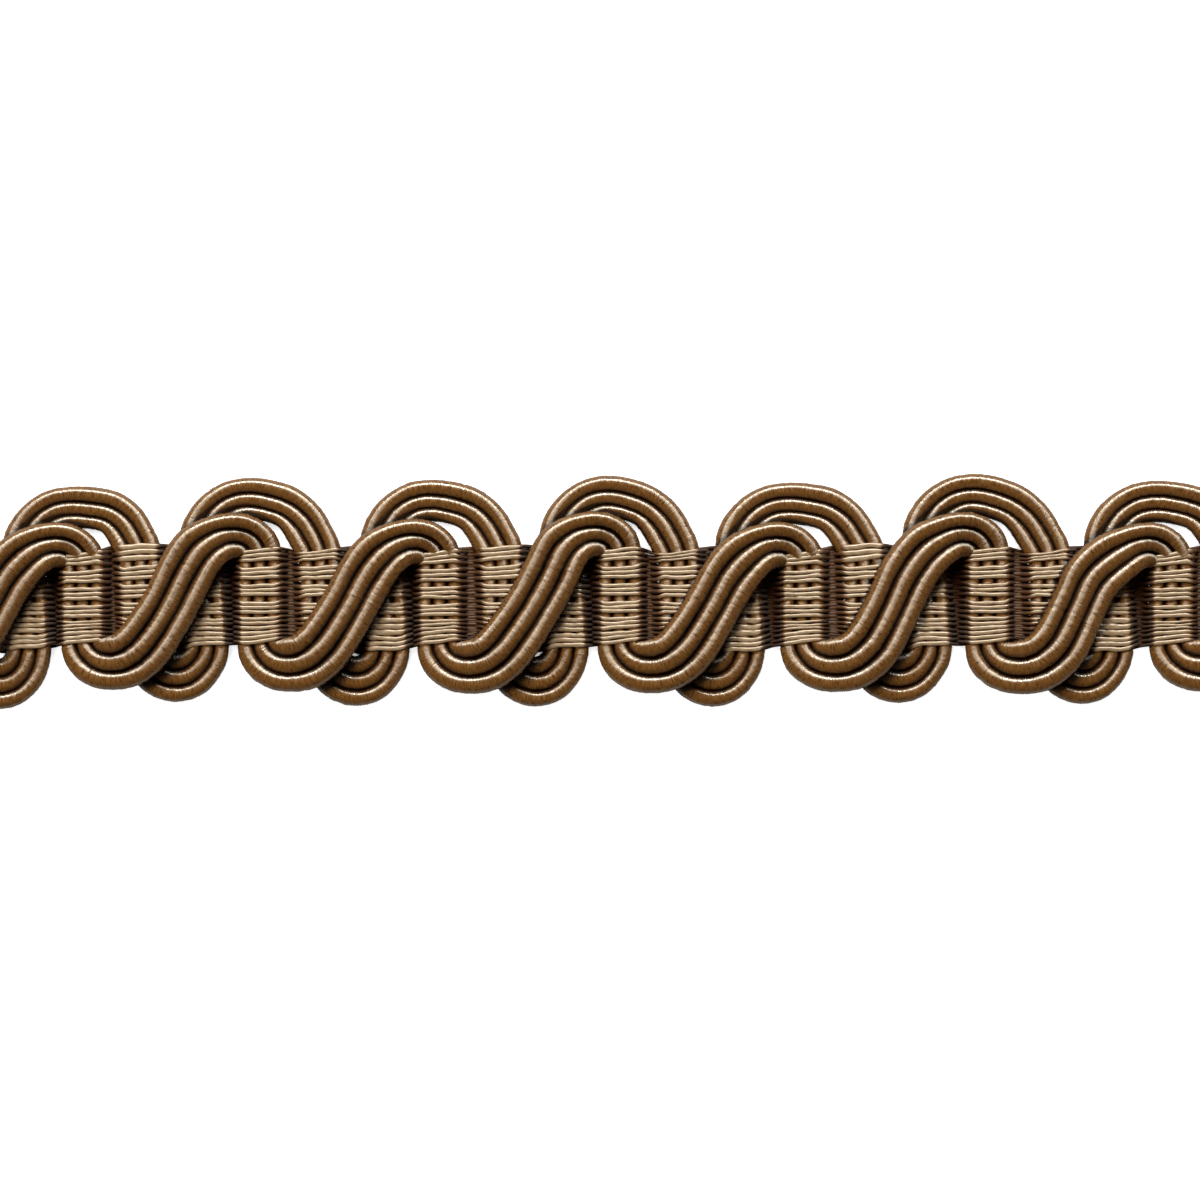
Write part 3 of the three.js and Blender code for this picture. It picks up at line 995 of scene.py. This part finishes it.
@dataclass(frozen=True)
class Silk:
    """Silk in a dark and a light colour that follow its grain, with painted shade that darkens it
    in the crevices, where it is also duller.

    The painted shade colours are the one deep in a crevice and the one half way out, the span is
    the openness at which the deep colour ends and the open one begins. The grain is a noise
    stretched along and around the piece's winding. The bump is a strength and a height in
    millimetres.
    """

    name: str
    dark: Colour
    light: Colour
    shade_tones: tuple[Colour, Colour]
    span: tuple[float, float]
    roughness: tuple[float, float]
    gloss: Colour
    shine: float
    dimensions: str
    grain: tuple[float, float, float]
    detail: float
    bump: tuple[float, float]
    roughness_change: float = 0.0
    refraction: float = 1.5
    anisotropy: float = 0.0

    def shade(
        self, sheet: NodeSheet, openness: bpy.types.NodeSocket, colour: bpy.types.NodeSocket
    ) -> bpy.types.NodeSocket:
        """Paint shade into the colour: darken it towards the deep places between cords and
        threads.

        Args:
            sheet: The material's nodes.
            openness: 0 deep in a crevice and 1 in the open.
            colour: The colour in the open.

        Returns:
            The shaded colour.
        """
        inner = sheet.add("ShaderNodeMix", data_type="RGBA")
        sheet.join(stretch(sheet, openness, (0.0, DEEP_END)), inner.inputs["Factor"])
        inner.inputs[6].default_value, inner.inputs[7].default_value = self.shade_tones
        outer = sheet.add("ShaderNodeMix", data_type="RGBA")
        sheet.join(stretch(sheet, openness, (MOUTH_START, 1.0)), outer.inputs["Factor"])
        sheet.join(inner.outputs[2], outer.inputs[6])
        sheet.join(colour, outer.inputs[7])
        return outer.outputs[2]

    def dull(
        self, sheet: NodeSheet, openness: bpy.types.NodeSocket, grain: bpy.types.NodeSocket
    ) -> bpy.types.NodeSocket:
        """Dull the crevices, and vary the roughness with the grain, to break a glint into beads.

        Args:
            sheet: The material's nodes.
            openness: 0 deep in a crevice and 1 in the open.
            grain: The grain, 0 to 1.

        Returns:
            The roughness.
        """
        rough = stretch(sheet, openness, (0.0, DULL_END), self.roughness)
        if not self.roughness_change:
            return rough
        change = sheet.add("ShaderNodeMath", operation="MULTIPLY_ADD")
        sheet.join(grain, change.inputs[0])
        sheet.value(change, 1, self.roughness_change)
        sheet.value(change, 2, -self.roughness_change / 2)
        total = sheet.add("ShaderNodeMath", operation="ADD", use_clamp=True)
        sheet.join(rough, total.inputs[0])
        sheet.join(change.outputs["Value"], total.inputs[1])
        return total.outputs["Value"]

    def material(self) -> bpy.types.Material:
        """Lay out the finish as a material.

        Returns:
            The material.
        """
        material, sheet, shader = new_material(self.name)
        uv = sheet.add("ShaderNodeUVMap", uv_map="Winding")
        mapping = sheet.add("ShaderNodeMapping")
        sheet.value(mapping, "Scale", self.grain)
        sheet.join(uv.outputs["UV"], mapping.inputs["Vector"])
        noise = sheet.add("ShaderNodeTexNoise", noise_dimensions=self.dimensions)
        sheet.value(noise, "Scale", 1.0)
        sheet.value(noise, "Detail", self.detail)
        sheet.join(mapping.outputs["Vector"], noise.inputs["Vector"])
        grain = noise.outputs["Fac"]
        ramp = sheet.add("ShaderNodeValToRGB")
        ends = zip(ramp.color_ramp.elements, TONE_EDGES, (self.dark, self.light))
        for element, position, colour in ends:
            element.position = position
            element.color = colour
        sheet.join(grain, ramp.inputs["Fac"])
        crevice = sheet.add("ShaderNodeGroup", node_tree=crevice_shade_group())
        sheet.value(crevice, "Deep", self.span[0])
        sheet.value(crevice, "Open", self.span[1])
        openness = crevice.outputs["Openness"]
        # Painted shade: the colour darkens where the openness attribute marks a crevice.
        shaded = self.shade(sheet, openness, ramp.outputs["Color"])
        sheet.join(shaded, shader.inputs["Base Color"])
        sheet.join(self.dull(sheet, openness, grain), shader.inputs["Roughness"])
        bump = sheet.add("ShaderNodeBump")
        sheet.value(bump, "Strength", self.bump[0])
        sheet.value(bump, "Distance", self.bump[1] * MM)
        sheet.join(grain, bump.inputs["Height"])
        sheet.join(bump.outputs["Normal"], shader.inputs["Normal"])
        if self.anisotropy:
            along = sheet.add("ShaderNodeTangent", direction_type="UV_MAP", uv_map="Winding")
            sheet.join(along.outputs["Tangent"], shader.inputs["Tangent"])
        shader.inputs["IOR"].default_value = self.refraction
        shader.inputs["Specular IOR Level"].default_value = self.shine
        shader.inputs["Specular Tint"].default_value = self.gloss
        shader.inputs["Anisotropic"].default_value = self.anisotropy
        return material


# Gold-brown yarn across a cord, whose tone changes from turn to turn and within a turn.
WOUND_SILK = Silk(
    name="wound_silk",
    dark=(0.200, 0.073, 0.011, 1.0),
    light=(0.475, 0.203, 0.044, 1.0),
    # Painted shade: the colours deep in a crevice and half way out of it.
    shade_tones=((0.034, 0.011, 0.002, 1.0), (0.140, 0.047, 0.008, 1.0)),
    span=(0.74, 1.0),
    roughness=(0.60, 0.46),
    gloss=(1.0, 0.92, 0.74, 1.0),
    shine=1.0,
    dimensions="2D",
    grain=(10.65, 9.0, 1.0),
    detail=2.0,
    bump=(0.4, 0.05),
    roughness_change=0.9,
    refraction=1.7,
    anisotropy=0.94,
)

# Champagne thread, smooth, with fine filaments along it.
WARP_SILK = Silk(
    name="warp_silk",
    dark=(0.54, 0.34, 0.17, 1.0),
    light=(0.84, 0.62, 0.38, 1.0),
    # Painted shade: the colours deep in a crevice and half way out of it.
    shade_tones=((0.060, 0.018, 0.004, 1.0), (0.270, 0.100, 0.024, 1.0)),
    span=(0.05, 0.80),
    roughness=(0.85, 0.32),
    gloss=(1.0, 0.88, 0.70, 1.0),
    shine=0.7,
    dimensions="3D",
    grain=(2.0, 6.0, 1.0),
    detail=3.0,
    bump=(0.2, 0.02),
)


@dataclass(frozen=True)
class Lamp:
    """A rectangular lamp that looks at the trim, in millimetres and watts.

    One with gloss only glints on the silk, one without it only lights it.
    """

    name: str
    place: tuple[float, float, float]
    size: tuple[float, float]
    power: float
    gloss: bool

    def add(self) -> None:
        """Add the lamp to the scene."""
        lamp = bpy.data.lights.new(self.name, "AREA")
        lamp.shape = "RECTANGLE"
        lamp.size, lamp.size_y = self.size[0] * MM, self.size[1] * MM
        lamp.energy = self.power
        holder = bpy.data.objects.new(self.name, lamp)
        holder.location = Vector(self.place) * MM
        holder.rotation_euler = (-Vector(self.place)).to_track_quat("-Z", "Y").to_euler()
        holder.visible_diffuse = not self.gloss
        holder.visible_glossy = self.gloss
        bpy.context.scene.collection.objects.link(holder)


@dataclass
class Studio:
    """Pale floor, soft light from beyond the large loops, and the camera straight above."""

    view_centre: tuple[float, float] = (-1.82, -0.67)
    view_width: float = 84.0
    view_height: float = 1.2
    lens: float = 100.0
    nearest: float = 10.0
    floor_size: float = 4000.0
    floor_roughness: float = 0.9
    # Painted contact shade on the floor: reach, openness span and samples of the occlusion mask
    # that darkens it in narrow gaps by the trim.
    contact_reach: float = 1.3
    contact_span: tuple[float, float] = (0.08, 0.24)
    contact_samples: int = 4
    lamps: tuple[Lamp, ...] = (
        Lamp("glint", (0.0, 560.0, 330.0), (700.0, 70.0), 14.0, gloss=True),
        Lamp("key", (-150.0, 400.0, 600.0), (300.0, 300.0), 3.4, gloss=False),
    )
    surrounding: float = 0.03

    def add_camera(self) -> None:
        """Place the camera over the trim so that the photograph's frame is 84 mm wide."""
        camera = bpy.data.cameras.new("camera")
        camera.lens = self.lens
        camera.clip_start = self.nearest * MM
        holder = bpy.data.objects.new("camera", camera)
        distance = self.view_width * self.lens / camera.sensor_width
        x, y = self.view_centre
        holder.location = Vector((x, y, distance + self.view_height)) * MM
        bpy.context.scene.collection.objects.link(holder)
        bpy.context.scene.camera = holder

    def add_floor(self) -> None:
        """Add the pale floor, with painted shade only where the trim touches it: occlusion darkens
        its colour and its glow.
        """
        bpy.ops.object.select_all(action="DESELECT")
        bpy.ops.mesh.primitive_plane_add(size=self.floor_size * MM, location=(0.0, 0.0, 0.0))
        floor = bpy.context.active_object
        floor.name = "floor"
        material, sheet, shader = new_material("pale_floor")
        # Painted shade: the floor's colour and glow darken where the trim hides its sky.
        hollow = sheet.add("ShaderNodeAmbientOcclusion", samples=self.contact_samples)
        sheet.value(hollow, "Distance", self.contact_reach * MM)
        contact_shade_mask = sheet.add("ShaderNodeMapRange", interpolation_type="SMOOTHSTEP")
        sheet.value(contact_shade_mask, "From Min", self.contact_span[0])
        sheet.value(contact_shade_mask, "From Max", self.contact_span[1])
        sheet.join(hollow.outputs["AO"], contact_shade_mask.inputs["Value"])
        sheet.join(contact_shade_mask.outputs["Result"], shader.inputs["Base Color"])
        shader.inputs["Roughness"].default_value = self.floor_roughness
        seen = sheet.add("ShaderNodeLightPath")
        glow = sheet.add("ShaderNodeMath", operation="MULTIPLY")
        sheet.join(contact_shade_mask.outputs["Result"], glow.inputs[0])
        sheet.join(seen.outputs["Is Camera Ray"], glow.inputs[1])
        sheet.join(glow.outputs["Value"], shader.inputs["Emission Color"])
        shader.inputs["Emission Strength"].default_value = 1.0
        floor.data.materials.append(material)

    def add_light(self) -> None:
        """Light the trim from beyond its large loops, with a little soft light all round."""
        for lamp in self.lamps:
            lamp.add()
        world = bpy.data.worlds.new("studio")
        world.use_nodes = True
        background = world.node_tree.nodes["Background"]
        background.inputs["Color"].default_value = (1.0, 1.0, 1.0, 1.0)
        background.inputs["Strength"].default_value = self.surrounding
        bpy.context.scene.world = world
        bpy.context.scene.view_settings.view_transform = "Standard"


@dataclass
class BraidCords:
    """The six wound cords in their two bundles."""

    plan: ScrollPlan
    slim: float = 0.46
    full: float = 0.68

    def build(self) -> list[bpy.types.Object]:
        """Build the six cords and report each.

        Returns:
            The cords.
        """
        pieces = []
        bundles = {"front_cord": self.plan.front_knots(), "back_cord": self.plan.back_knots()}
        for order, (bundle, middle) in enumerate(bundles.items()):
            for number, side in enumerate(Side, start=1):
                knots = self.plan.cord_knots(middle, side, self.slim, self.full)
                cord = WoundCord(f"{bundle}_{number}", knots, seed=10 * order + number)
                piece = cord.build()
                pieces.append(piece)
                log.info("%s: %d faces", piece.name, len(piece.data.polygons))
        return pieces


def dress(pieces: list[bpy.types.Object], material: bpy.types.Material) -> None:
    """Give the pieces a finish.

    Args:
        pieces: The pieces.
        material: The finish.
    """
    for piece in pieces:
        piece.data.materials.clear()
        piece.data.materials.append(material)


def main() -> None:
    """Build the scene."""
    logging.basicConfig(level=logging.INFO, format="%(name)s %(message)s")
    studio = Studio()
    studio.add_camera()
    plan = ScrollPlan()
    cords = BraidCords(plan).build()
    dress(cords, WOUND_SILK.material())
    threads = WarpBand(plan).build()
    dress(threads, WARP_SILK.material())
    # Bake the occlusion that the materials paint as shade into the colour of cords and threads.
    Relief().shade(cords, cords)
    Relief().shade(threads, cords + threads)
    studio.add_floor()
    studio.add_light()
    bpy.context.view_layer.update()


if __name__ == "__main__":
    main()
